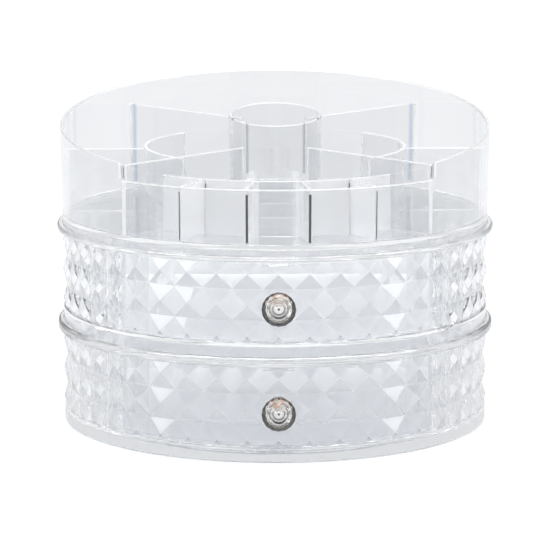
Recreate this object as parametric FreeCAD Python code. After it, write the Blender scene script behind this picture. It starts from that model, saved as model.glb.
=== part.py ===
"""Round rotating makeup organizer: two faceted drawer tiers and an open tray on a turntable.

Millimetres, +Z up. The origin is on the table, under the turning axis, and the drawers face -Y.
Azimuths are in degrees from the front (-Y), positive towards +X.
"""
import FreeCAD, Part
import math
import os

V = FreeCAD.Vector
CENTRE = V(0, 0, 0)
UP = V(0, 0, 1)
FRONT = V(0, -1, 0)

# ---------------------------------------------------------------- clearances
SLIDE_GAP = 0.3         # between a drawer and the parts it slides on or past
SEAM_GAP = 0.4          # around a closed drawer panel
SEAT_GAP = 0.2          # between a compartment wall and the wall it ends at
PANEL_SEAT = 0.1        # glue line between a drawer box and its panel
RUNNING_FIT = 0.05      # radial, post in bush and screw in bore
BALL_PLAY = 0.1         # above and below each ball
WELD = 1.0              # how far one feature is sunk into the next so that they join

# ---------------------------------------------------------------- drum tiers
DRUM_R = 125.2          # over the points of the facets
FACET_RELIEF = 2.5      # from the points down to the valleys
FACET_COLUMNS = 45
DRUM_WALL = 1.9         # behind a valley
BAND_INSET = 0.4        # plain band at the foot, inside the facet points
BAND_WALL = 3.2
FLOOR_T = 2.4
CASING_H = 54.8         # skirt to top of wall
KNOB_H = 30.2           # skirt to knob, which is also the middle of a facet row
OPENING_COLUMNS = 13    # facet columns on a drawer front
RAIL_T = 2.0
RAIL_H = 7.0

# ---------------------------------------------------------------- decks
FLANGE_OUT = 3.1        # beyond the facet points
DECK_T = 2.4
LIP_PLAY = 0.5          # between a lip and the skirt inside it
LOWER_SEAT_H = 4.4      # deck underside to the next tier's skirt
LOWER_LIP_H = 1.2
UPPER_SEAT_H = 2.4
UPPER_LIP_H = 1.0
LOWER_EDGE_R = 2.0      # rounding of the flange edge
UPPER_EDGE_R = 1.3
SPIGOT_T = 2.2
SPIGOT_H = 3.0
LUG_HALF_WIDTH = 9.0    # catch behind the middle of the drawer panel
STOP_X = 45.0           # stops for the drawer back, each side
STOP_WIDTH = 12.0
STOP_T = 3.0
STOP_DROP = 3.5

# ---------------------------------------------------------------- drawers
BOX_WALL = 2.0
BOX_SIDE_MARGIN = 8.2   # from the edge of the opening to the box
BOX_TOP_GAP = 1.0
BOX_BACK_GAP = 1.4      # from the back corners to the deck's spigot
BOX_CORNER_R = 10.0
DRAWER_TRAVEL = 110.0

# ---------------------------------------------------------------- knobs
KNOB_R = 9.6
KNOB_SIDES = 12
KNOB_TABLE_R = 4.4
KNOB_DEPTH = 11.4
KNOB_BOSS_R = 6.5
KNOB_BOSS_IN = 1.2      # boss behind the inner face of the panel
KNOB_SEAT_IN = 0.8      # flat seat below the facet points
FERRULE_R = 6.2
FERRULE_L = 4.2
FERRULE_WAIST_R = 3.6
FERRULE_TOP_R = 5.2
FERRULE_RIM_T = 1.1
SCREW_R = 2.0
SCREW_HEAD_R = 3.8
SCREW_HEAD_H = 2.2
SCREW_INTO_KNOB = 3.0
WASHER_R = 5.5
WASHER_T = 0.8

# ---------------------------------------------------------------- tray
TRAY_INSET = 0.3        # foot of the tray wall, inside the facet points
TRAY_FLARE = 1.2        # how much wider the wall is at its highest point
TRAY_WALL = 2.2
TRAY_FLOOR_Z = 6.6      # seat to top of the tray floor
RIM_H = 59.4            # seat to rim, at the axis
RIM_TILT = 7.2          # the rim and the tube top rise to the back
FRONT_WALL_H = 38.1     # low wall across the front
FRONT_HALF_ANGLE = 44.3
REAR_WALL_AZIMUTH = 135.0
REAR_WALL_H = 59.1
CORNER_WALL_H = 46.8
SIDE_WALL_H = 43.6
ROUND_WALL_H = 45.6
ROUND_WALL_R = 76.0
RACK_R = 92.5
RACK_AZIMUTHS = (-26.3, -8.3, 8.3, 26.3)
DIVIDER_T = 2.0
TUBE_R = 27.3
TUBE_WALL = 2.0
TUBE_H = 63.8           # seat to tube top, at the axis

# ---------------------------------------------------------------- turntable
SKIRT_LIFT = 2.0        # skirt above the table
BASE_R = 98.0
BASE_T = 2.2
PAD_R = 7.0
PAD_COUNT = 6
PAD_RING_R = 86.0
CENTRE_PAD_R = 12.0
PAD_PROUD = 0.8
PAD_RECESS = 0.6
BALL_D = 5.0
BALL_COUNT = 18
RACE_R = 86.0
RACE_HALF_WIDTH = 6.0
RACE_WEB = 0.3          # from each ball to the plate its race stands on
RACE_H = 1.4
CAGE_T = 1.6
CAGE_HALF_WIDTH = 5.0
CAGE_PLAY = 0.15
POST_R = 5.0
BUSH_T = 1.4
HUB_WALL = 2.4
HUB_CUP_R = 13.0
HUB_CUP_DEPTH = 3.4
HUB_PLATE_T = 2.4
HUB_BOSS_DROP = 1.2     # hub boss below its plate
PIVOT_WASHER_R = 9.0
PIVOT_WASHER_T = 1.0
PIVOT_SCREW_R = 1.9
PIVOT_HEAD_R = 3.8
PIVOT_HEAD_H = 1.7
PIVOT_PILOT_DEPTH = 4.6

# ---------------------------------------------------------------- worked out from the sizes above
COLUMN_ANGLE = 360.0 / FACET_COLUMNS
ROW_H = 2 * math.pi * DRUM_R / FACET_COLUMNS
OPENING_HALF_ANGLE = OPENING_COLUMNS * COLUMN_ANGLE / 2
VALLEY_CORNER_R = (DRUM_R - FACET_RELIEF) / math.cos(math.radians(COLUMN_ANGLE / 2))
DRUM_IN_R = DRUM_R - FACET_RELIEF - DRUM_WALL
BAND_R = DRUM_R - BAND_INSET
BASE_TOP_Z = PAD_PROUD + BASE_T
BALL_Z = BASE_TOP_Z + RACE_WEB + BALL_D / 2
CAVITY_H = BALL_Z + BALL_D / 2 + RACE_WEB - SKIRT_LIFT
BAND_H = CAVITY_H + FLOOR_T

FLANGE_R = DRUM_R + FLANGE_OUT
LIP_IN_R = BAND_R + LIP_PLAY
SPIGOT_R = DRUM_IN_R - SEAM_GAP
LOWER_Z = SKIRT_LIFT
LOWER_DECK_Z = LOWER_Z + CASING_H
UPPER_Z = LOWER_DECK_Z + LOWER_SEAT_H
UPPER_DECK_Z = UPPER_Z + CASING_H
TRAY_Z = UPPER_DECK_Z + UPPER_SEAT_H

BOX_HALF_WIDTH = DRUM_IN_R * math.sin(math.radians(OPENING_HALF_ANGLE)) - BOX_SIDE_MARGIN
BOX_BACK_Y = math.sqrt((SPIGOT_R - SPIGOT_T - BOX_BACK_GAP) ** 2 - BOX_HALF_WIDTH ** 2)
BOX_FLOOR_Z = BAND_H + SLIDE_GAP
BOX_TOP_Z = CASING_H - BOX_TOP_GAP
KNOB_SEAT_Y = -(DRUM_R - KNOB_SEAT_IN)
PANEL_BACK_Y = -(DRUM_IN_R - KNOB_BOSS_IN)

TRAY_R = DRUM_R - TRAY_INSET
TRAY_TOP_H = RIM_H + (TRAY_R + TRAY_FLARE) * math.tan(math.radians(RIM_TILT))
HUB_R = POST_R + RUNNING_FIT + BUSH_T


# ---------------------------------------------------------------- shapes used more than once
def at(radius, azimuth, z):
    """The point at this radius, azimuth and height."""
    turn = math.radians(azimuth)
    return V(radius * math.sin(turn), -radius * math.cos(turn), z)


def disc(radius, low, high):
    return Part.makeCylinder(radius, high - low, V(0, 0, low))


def ring(inner, outer, low, high):
    return disc(outer, low, high).cut(disc(inner, low - WELD, high + WELD))


def wedge(radius, low, high, start, end):
    """A slice of a cylinder between two azimuths."""
    slice_ = Part.makeCylinder(radius, high - low, V(0, 0, low), UP, end - start)
    slice_.rotate(CENTRE, UP, start - 90)
    return slice_


def arc_wall(inner, outer, low, high, start, end):
    """A slice of a ring between two azimuths."""
    return wedge(outer, low, high, start, end).cut(disc(inner, low - WELD, high + WELD))


def radial_wall(start_r, end_r, low, high, azimuth, thickness):
    """A flat wall that runs outwards along one azimuth."""
    wall = Part.makeBox(thickness, end_r - start_r, high - low, V(-thickness / 2, -end_r, low))
    wall.rotate(CENTRE, UP, azimuth)
    return wall


def block(x0, x1, y0, y1, z0, z1):
    return Part.makeBox(x1 - x0, y1 - y0, z1 - z0, V(x0, y0, z0))


def turned(profile):
    """The solid swept by a closed (radius, height) outline about the vertical axis."""
    points = [V(r, 0, z) for r, z in profile]
    return Part.Face(Part.makePolygon(points + points[:1])).revolve(CENTRE, UP, 360)


def rod(radius, y_from, y_to, z):
    """A round bar along the drawers' direction."""
    return Part.makeCylinder(radius, y_from - y_to, V(0, y_from, z), FRONT)


def joined(first, *others):
    return first.fuse(list(others)).removeSplitter()


def closed_solid(faces):
    """A solid from the flat faces that bound it."""
    shell = Part.makeShell(faces)
    shell.sewShape()
    solid = Part.makeSolid(shell)
    if solid.Volume < 0:
        solid.reverse()
    return solid


def rounded(solid, radius, picks):
    """The solid with a rounding on each edge that picks accepts."""
    return solid.makeFillet(radius, [edge for edge in solid.Edges if picks(edge)])


def is_ring_edge(edge, radius, z):
    """Whether the edge lies on this circle about the axis."""
    curve = edge.Curve
    return (isinstance(curve, Part.Circle) and abs(curve.Radius - radius) < 0.01
            and abs(curve.Center.z - z) < 0.01)


def tilted_space_above(height_at_axis, reach):
    """Everything above a plane that rises to the back."""
    space = block(-reach, reach, -reach, reach, 0, reach)
    space.rotate(CENTRE, V(1, 0, 0), RIM_TILT)
    space.translate(V(0, 0, height_at_axis))
    return space


# ---------------------------------------------------------------- drum tiers
def faceted_drum():
    """A closed drum whose side is a grid of four-sided pyramids, square at the points."""
    rows_below = math.ceil((KNOB_H - ROW_H / 2 - BAND_H + WELD) / ROW_H)
    rows_above = math.ceil((CASING_H - KNOB_H - ROW_H / 2) / ROW_H)
    levels = [KNOB_H + (row - 0.5) * ROW_H for row in range(-rows_below, rows_above + 2)]
    faces = []
    for column in range(FACET_COLUMNS):
        left = (column - 0.5) * COLUMN_ANGLE
        right = (column + 0.5) * COLUMN_ANGLE
        for low, high in zip(levels, levels[1:]):
            corners = [at(VALLEY_CORNER_R, azimuth, z)
                       for azimuth, z in ((left, low), (right, low), (right, high), (left, high))]
            point = at(DRUM_R, column * COLUMN_ANGLE, (low + high) / 2)
            for a, b in zip(corners, corners[1:] + corners[:1]):
                faces.append(Part.Face(Part.makePolygon([a, b, point, a])))
    for z in (levels[0], levels[-1]):
        rim = [at(VALLEY_CORNER_R, (column - 0.5) * COLUMN_ANGLE, z) for column in range(FACET_COLUMNS)]
        faces.append(Part.Face(Part.makePolygon(rim + rim[:1])))
    return closed_solid(faces)


def casing_wall(drum):
    """The faceted wall, from the plain band up, open where the drawer is."""
    low = BAND_H - WELD
    end = 360 - OPENING_HALF_ANGLE
    reach = wedge(DRUM_R + WELD, low, CASING_H, OPENING_HALF_ANGLE, end)
    return drum.common(reach).cut(disc(DRUM_IN_R, low - WELD, CASING_H + WELD))


def casing(drum):
    """Floor, skirt and band, guide rails and faceted wall, with the skirt's foot at height 0."""
    floor = disc(BAND_R - BAND_WALL + WELD, CAVITY_H, BAND_H)
    skirt = ring(BAND_R - BAND_WALL, BAND_R, 0, BAND_H)
    rail_x = BOX_HALF_WIDTH + SLIDE_GAP
    rails = [block(x, x + RAIL_T, -BOX_BACK_Y, BOX_BACK_Y - RAIL_T, CAVITY_H, BAND_H + RAIL_H)
             for x in (rail_x, -rail_x - RAIL_T)]
    return joined(skirt, floor, casing_wall(drum), *rails)


def hub():
    """The cup in the lower floor that holds the pivot, with its bore left solid."""
    plate_top = BAND_H - HUB_CUP_DEPTH
    plate_low = plate_top - HUB_PLATE_T
    cup = ring(HUB_CUP_R, HUB_CUP_R + HUB_WALL, plate_low, BAND_H)
    plate = disc(HUB_CUP_R + HUB_WALL, plate_low, plate_top)
    boss = disc(HUB_R + HUB_WALL, plate_low - HUB_BOSS_DROP, plate_top)
    return joined(cup, plate, boss)


def ball_channel():
    """The space in which the balls run: flat above and below, with room at the sides."""
    reach = BALL_D / 2
    return ring(RACE_R - reach, RACE_R + reach, BALL_Z - reach - BALL_PLAY, BALL_Z + reach + BALL_PLAY)


def lower_casing(drum):
    """The drum with the pivot hub and the upper ball race under its floor."""
    race = ring(RACE_R - RACE_HALF_WIDTH, RACE_R + RACE_HALF_WIDTH, CAVITY_H - RACE_H, CAVITY_H)
    shell = casing(drum).cut(disc(HUB_CUP_R, CAVITY_H - WELD, BAND_H + WELD))
    shell = joined(shell, race, hub())
    shell = shell.cut(disc(HUB_R, -WELD, BAND_H))
    shell.translate(V(0, 0, LOWER_Z))
    return shell.cut(ball_channel())


def upper_casing(drum):
    shell = casing(drum)
    shell.translate(V(0, 0, UPPER_Z))
    return shell


def deck(seat_h, lip_h, edge_r, z):
    """A plate with a rounded flange, a seat and lip for the next tier, and the drawer's stops below."""
    top = seat_h + lip_h
    inner = BAND_R - BAND_WALL - WELD
    plate = turned([(0, 0), (FLANGE_R, 0), (FLANGE_R, top), (LIP_IN_R, top), (LIP_IN_R, seat_h),
                    (inner, seat_h), (inner, DECK_T), (0, DECK_T)] if seat_h > DECK_T else
                   [(0, 0), (FLANGE_R, 0), (FLANGE_R, top), (LIP_IN_R, top), (LIP_IN_R, seat_h),
                    (0, seat_h)])
    plate = rounded(plate, edge_r, lambda edge: is_ring_edge(edge, FLANGE_R, 0)
                    or is_ring_edge(edge, FLANGE_R, top))
    opening = OPENING_HALF_ANGLE + COLUMN_ANGLE / 2
    spigot = arc_wall(SPIGOT_R - SPIGOT_T, SPIGOT_R, -SPIGOT_H, WELD, opening, 360 - opening)
    lug_angle = math.degrees(math.asin(LUG_HALF_WIDTH / SPIGOT_R))
    lug = arc_wall(SPIGOT_R - SPIGOT_T, SPIGOT_R, -SPIGOT_H, WELD, -lug_angle, lug_angle)
    stop_y = BOX_BACK_Y - BOX_WALL - DRAWER_TRAVEL - SLIDE_GAP
    stops = [block(x - STOP_WIDTH / 2, x + STOP_WIDTH / 2, stop_y - STOP_T, stop_y, -STOP_DROP, WELD)
             for x in (-STOP_X, STOP_X)]
    whole = joined(plate, spigot, lug, *stops)
    whole.translate(V(0, 0, z))
    return whole


# ---------------------------------------------------------------- drawers
def drawer_front(drum, z):
    """The curved faceted panel, with a flat boss that takes the knob."""
    low = BAND_H + SEAM_GAP
    high = CASING_H - SEAM_GAP
    half_angle = OPENING_HALF_ANGLE - math.degrees(SEAM_GAP / DRUM_IN_R)
    panel = drum.common(wedge(DRUM_R + WELD, low, high, -half_angle, half_angle))
    panel = panel.cut(disc(DRUM_IN_R, low - WELD, high + WELD))
    panel = panel.cut(rod(KNOB_BOSS_R, KNOB_SEAT_Y, -DRUM_R - WELD, KNOB_H))
    panel = joined(panel, rod(KNOB_BOSS_R, PANEL_BACK_Y, KNOB_SEAT_Y, KNOB_H))
    panel = panel.cut(rod(SCREW_R + SEAT_GAP, PANEL_BACK_Y + WELD, KNOB_SEAT_Y - WELD, KNOB_H))
    panel.translate(V(0, 0, z))
    return panel


def box_outline(inset, low, high):
    """The drawer box's outer block, or its inside when inset by the wall."""
    half = BOX_HALF_WIDTH - inset
    outline = block(-half, half, -DRUM_R, BOX_BACK_Y - inset, low, high)
    back_edges = [edge for edge in outline.Edges
                  if abs(edge.CenterOfMass.y - (BOX_BACK_Y - inset)) < 0.01
                  and abs(abs(edge.CenterOfMass.x) - half) < 0.01]
    return outline.makeFillet(BOX_CORNER_R - inset, back_edges)


def drawer_box(z):
    """Floor, two sides and a back with round corners; the panel closes the front."""
    box = box_outline(0, BOX_FLOOR_Z, BOX_TOP_Z).cut(
        box_outline(BOX_WALL, BOX_FLOOR_Z + BOX_WALL, BOX_TOP_Z + WELD))
    box = box.common(disc(DRUM_IN_R - PANEL_SEAT, 0, CASING_H))
    knob_room = rod(KNOB_BOSS_R + SLIDE_GAP, PANEL_BACK_Y + WELD, -DRUM_R, KNOB_H)
    box = box.cut(knob_room)
    box.translate(V(0, 0, z))
    return box


def knob_crystal(z):
    """A round cut stone: rings of points, each turned half a step from the last, joined by facets."""
    base_y = KNOB_SEAT_Y - FERRULE_L
    step = 360.0 / KNOB_SIDES
    rings = [(0.0, FERRULE_TOP_R - 0.8, 0.0), (0.25, 0.72 * KNOB_R, 0.5), (0.5, KNOB_R, 0.0),
             (0.62, KNOB_R, 0.0), (0.83, 0.78 * KNOB_R, 0.5), (1.0, KNOB_TABLE_R, 0.0)]
    points = []
    for depth, radius, turn in rings:
        angles = [math.radians((side + turn) * step) for side in range(KNOB_SIDES)]
        points.append([V(radius * math.sin(a), base_y - depth * KNOB_DEPTH,
                         KNOB_H + radius * math.cos(a)) for a in angles])
    faces = [Part.Face(Part.makePolygon(ends + ends[:1])) for ends in (points[0], points[-1])]
    for back, front, (_, _, turn), (_, _, next_turn) in zip(points, points[1:], rings, rings[1:]):
        shift = 1 if turn > next_turn else 0
        for side in range(KNOB_SIDES):
            after = (side + 1) % KNOB_SIDES
            if turn == next_turn:
                faces.append(Part.Face(Part.makePolygon(
                    [back[side], back[after], front[after], front[side], back[side]])))
                continue
            near = front[(side + shift) % KNOB_SIDES]
            far = front[(side + shift - 1) % KNOB_SIDES]
            faces.append(Part.Face(Part.makePolygon([back[side], back[after], near, back[side]])))
            faces.append(Part.Face(Part.makePolygon([back[side], near, far, back[side]])))
    stone = closed_solid(faces)
    stone = stone.cut(rod(SCREW_R + RUNNING_FIT, base_y + WELD, base_y - SCREW_INTO_KNOB, KNOB_H))
    stone.translate(V(0, 0, z))
    return stone


def knob_ferrule(z):
    """The turned metal seat between the panel and the stone."""
    base_end = KNOB_SEAT_Y - FERRULE_RIM_T
    top_start = KNOB_SEAT_Y - FERRULE_L + FERRULE_RIM_T
    seat = joined(rod(FERRULE_R, KNOB_SEAT_Y, base_end, KNOB_H),
                  rod(FERRULE_WAIST_R, KNOB_SEAT_Y, KNOB_SEAT_Y - FERRULE_L, KNOB_H),
                  rod(FERRULE_TOP_R, top_start, KNOB_SEAT_Y - FERRULE_L, KNOB_H))
    seat = seat.cut(rod(SCREW_R + RUNNING_FIT, KNOB_SEAT_Y + WELD, KNOB_SEAT_Y - FERRULE_L - WELD, KNOB_H))
    seat.translate(V(0, 0, z))
    return seat


def knob_washer(z):
    washer = rod(WASHER_R, PANEL_BACK_Y + WASHER_T, PANEL_BACK_Y, KNOB_H).cut(
        rod(SCREW_R + SEAT_GAP, PANEL_BACK_Y + WASHER_T + WELD, PANEL_BACK_Y - WELD, KNOB_H))
    washer.translate(V(0, 0, z))
    return washer


def knob_screw(z):
    head_y = PANEL_BACK_Y + WASHER_T
    shank_end = KNOB_SEAT_Y - FERRULE_L - SCREW_INTO_KNOB + SEAT_GAP
    head = rod(SCREW_HEAD_R, head_y + SCREW_HEAD_H, head_y, KNOB_H)
    shank = rod(SCREW_R, head_y + SCREW_HEAD_H, shank_end, KNOB_H)
    slot = block(-SCREW_HEAD_R, SCREW_HEAD_R, head_y + SCREW_HEAD_H * 0.5, head_y + SCREW_HEAD_H + WELD,
                 KNOB_H - 0.4, KNOB_H + 0.4)
    screw = joined(head, shank).cut(slot)
    screw.translate(V(0, 0, z))
    return screw


# ---------------------------------------------------------------- tray
def tray_space(inset, low):
    """The inside of the tray wall, from a height up, drawn in by an inset."""
    slope = TRAY_FLARE / TRAY_TOP_H
    foot = TRAY_R - TRAY_WALL - inset
    top = TRAY_TOP_H + WELD
    return turned([(0, low), (foot + slope * low, low), (foot + slope * top, top), (0, top)])


def tray_shell():
    """Raised floor, skirt and the flared outer wall with its slanted rim and low front."""
    slope = TRAY_FLARE / TRAY_TOP_H
    floor_low = TRAY_FLOOR_Z - FLOOR_T
    wall = turned([(TRAY_R - TRAY_WALL, 0), (TRAY_R, 0), (TRAY_R + TRAY_FLARE, TRAY_TOP_H),
                   (TRAY_R + TRAY_FLARE - TRAY_WALL, TRAY_TOP_H)])
    wall = wall.cut(tilted_space_above(RIM_H, 2 * TRAY_R))
    front_cut = wedge(TRAY_R + TRAY_FLARE + WELD, FRONT_WALL_H, TRAY_TOP_H,
                      -FRONT_HALF_ANGLE, FRONT_HALF_ANGLE)
    wall = wall.cut(front_cut)
    floor = disc(TRAY_R - TRAY_WALL + slope * floor_low + WELD / 2, floor_low, TRAY_FLOOR_Z)
    shell = joined(wall, floor)
    shell.translate(V(0, 0, TRAY_Z))
    return shell


def side_divider(side):
    """Rear, side and corner walls tied by the round wall; side is 1 on the right, -1 on the left."""
    low = TRAY_FLOOR_Z
    start = TUBE_R + SEAT_GAP
    reach = TRAY_R + TRAY_FLARE
    half = DIVIDER_T / 2
    start_azimuth, end_azimuth = sorted((side * FRONT_HALF_ANGLE, side * REAR_WALL_AZIMUTH))
    rear = radial_wall(start, reach, low, REAR_WALL_H, side * REAR_WALL_AZIMUTH, DIVIDER_T)
    corner = radial_wall(start, reach, low, CORNER_WALL_H, side * FRONT_HALF_ANGLE, DIVIDER_T)
    middle = radial_wall(ROUND_WALL_R, reach, low, SIDE_WALL_H, side * 90, DIVIDER_T)
    curve = arc_wall(ROUND_WALL_R - half, ROUND_WALL_R + half, low, ROUND_WALL_H,
                     start_azimuth, end_azimuth)
    frame = joined(rear, corner, middle, curve).common(tray_space(SEAT_GAP, low))
    frame = frame.cut(disc(start, 0, TRAY_TOP_H))
    frame.translate(V(0, 0, TRAY_Z))
    return frame


def front_rack():
    """The curved wall and short walls that make the small front cells."""
    low = TRAY_FLOOR_Z
    half = DIVIDER_T / 2
    reach = TRAY_R + TRAY_FLARE
    curve = arc_wall(RACK_R - half, RACK_R + half, low, FRONT_WALL_H,
                     -FRONT_HALF_ANGLE, FRONT_HALF_ANGLE)
    walls = [radial_wall(RACK_R, reach, low, FRONT_WALL_H, azimuth, DIVIDER_T)
             for azimuth in RACK_AZIMUTHS]
    rack = joined(curve, *walls).common(tray_space(SEAT_GAP, low))
    for side in (-1, 1):
        rack = rack.cut(radial_wall(0, reach, 0, TRAY_TOP_H, side * FRONT_HALF_ANGLE,
                                    DIVIDER_T + 2 * SEAT_GAP))
    rack.translate(V(0, 0, TRAY_Z))
    return rack


def brush_tube():
    tube = ring(TUBE_R - TUBE_WALL, TUBE_R, TRAY_FLOOR_Z, TRAY_TOP_H)
    tube = tube.cut(tilted_space_above(TUBE_H, 2 * TRAY_R))
    tube.translate(V(0, 0, TRAY_Z))
    return tube


# ---------------------------------------------------------------- turntable
def base_disc():
    """The plate on the table, with its ball race, the pivot post and recesses for the pads."""
    post_top = LOWER_Z + BAND_H - HUB_CUP_DEPTH + SLIDE_GAP
    plate = disc(BASE_R, PAD_PROUD, BASE_TOP_Z)
    race = ring(RACE_R - RACE_HALF_WIDTH, RACE_R + RACE_HALF_WIDTH, BASE_TOP_Z - WELD,
                BASE_TOP_Z + RACE_H)
    post = disc(POST_R, BASE_TOP_Z - WELD, post_top)
    base = joined(plate, race, post).cut(ball_channel())
    base = base.cut(disc(PIVOT_SCREW_R + RUNNING_FIT, post_top - PIVOT_PILOT_DEPTH, post_top + WELD))
    recess_top = PAD_PROUD + PAD_RECESS
    for position, radius in pad_places():
        recess = Part.makeCylinder(radius + SEAT_GAP, recess_top + WELD, position - V(0, 0, WELD))
        base = base.cut(recess)
    return base


def pad_places():
    """The centre and radius of each foot pad."""
    ring_pads = [(at(PAD_RING_R, i * 360.0 / PAD_COUNT, 0), PAD_R) for i in range(PAD_COUNT)]
    return ring_pads + [(CENTRE, CENTRE_PAD_R)]


def foot_pads():
    return Part.makeCompound([Part.makeCylinder(radius, PAD_PROUD + PAD_RECESS, position)
                              for position, radius in pad_places()])


def ball_centres():
    return [at(RACE_R, i * 360.0 / BALL_COUNT, BALL_Z) for i in range(BALL_COUNT)]


def bearing_balls():
    return Part.makeCompound([Part.makeSphere(BALL_D / 2, centre) for centre in ball_centres()])


def ball_cage():
    """A flat ring with one hole round each ball."""
    cage = ring(RACE_R - CAGE_HALF_WIDTH, RACE_R + CAGE_HALF_WIDTH, BALL_Z - CAGE_T / 2,
                BALL_Z + CAGE_T / 2)
    holes = [Part.makeCylinder(BALL_D / 2 + CAGE_PLAY, 2 * CAGE_T, centre - V(0, 0, CAGE_T))
             for centre in ball_centres()]
    return cage.cut(holes)


def pivot_bush():
    """The sleeve in the hub that turns on the post."""
    top = LOWER_Z + BAND_H - HUB_CUP_DEPTH
    low = top - HUB_PLATE_T - HUB_BOSS_DROP
    return ring(POST_R + RUNNING_FIT, HUB_R - RUNNING_FIT / 2, low, top)


def pivot_washer():
    low = LOWER_Z + BAND_H - HUB_CUP_DEPTH + SLIDE_GAP
    return ring(PIVOT_SCREW_R + SEAT_GAP, PIVOT_WASHER_R, low, low + PIVOT_WASHER_T)


def pivot_screw():
    """Slotted screw that holds the washer on the post."""
    head_low = LOWER_Z + BAND_H - HUB_CUP_DEPTH + SLIDE_GAP + PIVOT_WASHER_T
    head_top = head_low + PIVOT_HEAD_H
    shank_end = head_low - PIVOT_WASHER_T - PIVOT_PILOT_DEPTH + SEAT_GAP
    screw = joined(disc(PIVOT_HEAD_R, head_low, head_top), disc(PIVOT_SCREW_R, shank_end, head_top))
    slot = block(-PIVOT_HEAD_R, PIVOT_HEAD_R, -0.4, 0.4, head_top - 0.8, head_top + WELD)
    return screw.cut(slot)


# ---------------------------------------------------------------- the whole organizer
def build():
    """Every piece by name, in place."""
    drum = faceted_drum()
    pieces = {
        "base_disc": base_disc(),
        "foot_pads": foot_pads(),
        "bearing_balls": bearing_balls(),
        "ball_cage": ball_cage(),
        "pivot_bush": pivot_bush(),
        "pivot_washer": pivot_washer(),
        "pivot_screw": pivot_screw(),
        "lower_casing": lower_casing(drum),
        "lower_deck": deck(LOWER_SEAT_H, LOWER_LIP_H, LOWER_EDGE_R, LOWER_DECK_Z),
        "upper_casing": upper_casing(drum),
        "upper_deck": deck(UPPER_SEAT_H, UPPER_LIP_H, UPPER_EDGE_R, UPPER_DECK_Z),
        "tray_shell": tray_shell(),
        "left_divider": side_divider(-1),
        "right_divider": side_divider(1),
        "front_rack": front_rack(),
        "brush_tube": brush_tube(),
    }
    for tier, z in (("lower", LOWER_Z), ("upper", UPPER_Z)):
        pieces[tier + "_drawer_front"] = drawer_front(drum, z)
        pieces[tier + "_drawer_box"] = drawer_box(z)
        pieces[tier + "_knob_crystal"] = knob_crystal(z)
        pieces[tier + "_knob_ferrule"] = knob_ferrule(z)
        pieces[tier + "_knob_washer"] = knob_washer(z)
        pieces[tier + "_knob_screw"] = knob_screw(z)
    return pieces


os.makedirs("parts", exist_ok=True)
for name, shape in build().items():
    shape.exportStep("parts/" + name + ".step")
    box = shape.BoundBox
    print("%-20s %3d solid %10.1f mm3  z %7.2f to %7.2f  valid %s" % (
        name, len(shape.Solids), shape.Volume, box.ZMin, box.ZMax, shape.isValid()))
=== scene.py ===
# %% [markdown]
# # A round rotating makeup organizer in clear plastic
# The real object is a stack of thin moulded shells: a turntable, two drum tiers with a drawer in each,
# and an open tray with small compartments on top. Its CAD model gives every size and every joint, so the
# first step loads that model as a frame. Each visible piece is then made again as a finer surface in the
# same place, and rides on the CAD body it belongs to.

# %% Load the frame
import bpy, bmesh, math
import numpy as np
from mathutils import Matrix, Vector


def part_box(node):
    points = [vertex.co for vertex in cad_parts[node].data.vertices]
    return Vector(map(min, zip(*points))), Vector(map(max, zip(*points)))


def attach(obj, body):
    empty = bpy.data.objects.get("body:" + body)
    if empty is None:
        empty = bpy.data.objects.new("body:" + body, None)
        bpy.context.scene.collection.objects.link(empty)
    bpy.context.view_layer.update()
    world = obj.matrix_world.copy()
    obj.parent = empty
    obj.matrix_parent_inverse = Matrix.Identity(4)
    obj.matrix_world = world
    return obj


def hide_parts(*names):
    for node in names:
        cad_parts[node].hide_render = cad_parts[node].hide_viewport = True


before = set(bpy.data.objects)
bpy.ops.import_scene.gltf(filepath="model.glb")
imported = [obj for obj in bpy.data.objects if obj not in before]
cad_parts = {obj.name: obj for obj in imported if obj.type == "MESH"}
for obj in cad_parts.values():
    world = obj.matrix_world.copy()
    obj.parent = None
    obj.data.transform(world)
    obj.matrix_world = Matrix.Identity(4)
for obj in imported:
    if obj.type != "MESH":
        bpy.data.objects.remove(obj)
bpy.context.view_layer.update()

# %% [markdown]
# ## Camera
# A small object looks truest from far away through a long lens, because the tiers then keep nearly the
# same width from top to foot. The camera stands 1.85 m from the axis, a little to the left, and looks down
# by about ten degrees, so that the tray's floor and the drums' fronts both show.

# %% Camera
MM = 0.001
CAMERA_DISTANCE = 1850 * MM
CAMERA_HEIGHT = 426.5 * MM
CAMERA_AZIMUTH = math.radians(-0.9)
CAMERA_PITCH = math.radians(10.43)
LENS_MM = 207.8

camera_data = bpy.data.cameras.new("camera")
camera_data.lens = LENS_MM
camera_data.sensor_width = 36.0
camera_data.sensor_fit = "HORIZONTAL"
camera_data.clip_end = 50
camera = bpy.data.objects.new("camera", camera_data)
bpy.context.scene.collection.objects.link(camera)
camera.location = (CAMERA_DISTANCE * math.sin(CAMERA_AZIMUTH), -CAMERA_DISTANCE * math.cos(CAMERA_AZIMUTH),
                   CAMERA_HEIGHT)
camera.rotation_euler = (math.pi / 2 - CAMERA_PITCH, 0, CAMERA_AZIMUTH)
bpy.context.scene.camera = camera
print("camera at", [round(v, 3) for v in camera.location])

# %% [markdown]
# ## Node trees in a few words
# Every finish, the sky and the floor are small node trees. Building one by clicking is easy, and in a
# script it soon gets long, so three helpers keep it short: one makes a node with its values and links, one
# does a sum, and one turns a value into a colour by a ramp.

# %% Node helpers
MODES = ("operation", "interpolation_type", "data_type")


def node(tree, kind, links_in=(), **values):
    """A node of this kind with its modes and inputs set by name, and links into it as (source, input)."""
    made = tree.nodes.new(kind)
    for key, value in values.items():
        if key in MODES:
            setattr(made, key, value)
        else:
            made.inputs[key.replace("_", " ")].default_value = value
    for source, target in links_in:
        tree.links.new(source, made.inputs[target])
    return made


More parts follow.
